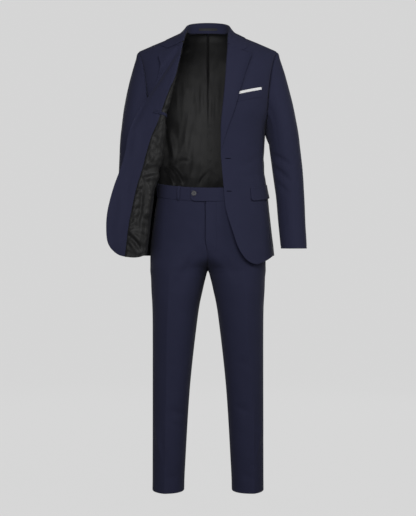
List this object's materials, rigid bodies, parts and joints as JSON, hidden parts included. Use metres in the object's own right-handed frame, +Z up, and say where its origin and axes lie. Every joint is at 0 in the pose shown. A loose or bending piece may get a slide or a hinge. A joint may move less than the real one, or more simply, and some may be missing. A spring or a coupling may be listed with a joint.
{
  "type": "two-piece suit",
  "caption": "Slim single-breasted suit jacket with one front turned open, over straight trousers, filled out as when worn.",
  "frame": {"origin": "middle of the jacket's neck opening at the height where the shoulder seams meet the collar, where the wearer's neck and shoulders carry the suit", "axes": "+Z up along the wearer's body, the front faces -Y, +X is the wearer's left"},
  "size_m": [0.6349, 0.296, 1.5362],
  "materials": {
    "wool": "fine navy worsted wool, matt with a faint sheen",
    "lining": "charcoal viscose lining, satin",
    "tape": "woven satin tape",
    "linen": "plain white linen",
    "button": "polished dark resin with four holes"
  },
  "bodies": {
    "root": {"front_left": "wool", "side_left": "wool", "side_right": "wool", "back_left": "wool", "back_right": "wool", "front_right": "wool", "facing_right": "wool", "lining_back_left": "lining", "lining_back_right": "lining", "lining_front_right": "lining", "lapel_left": "wool", "collar": "wool", "hanger_loop": "tape", "sleeve_left_top": "wool", "sleeve_left_under": "wool", "sleeve_right_top": "wool", "sleeve_right_under": "wool", "breast_welt": "wool", "pocket_square": "linen", "jet_left": "wool", "flap_left": "wool", "jet_right": "wool", "flap_right": "wool", "inside_pocket_welt": "wool", "button_front_1": "button", "button_front_2": "button", "trouser_front_left": "wool", "trouser_front_right": "wool", "trouser_back_left": "wool", "trouser_back_right": "wool", "waistband_right": "wool", "waistband_left": "wool", "button_waist": "button", "fly": "wool", "belt_loop_1": "wool", "belt_loop_2": "wool", "belt_loop_3": "wool", "belt_loop_4": "wool", "belt_loop_5": "wool", "belt_loop_6": "wool", "belt_loop_7": "wool"}
  },
  "joints": []
}
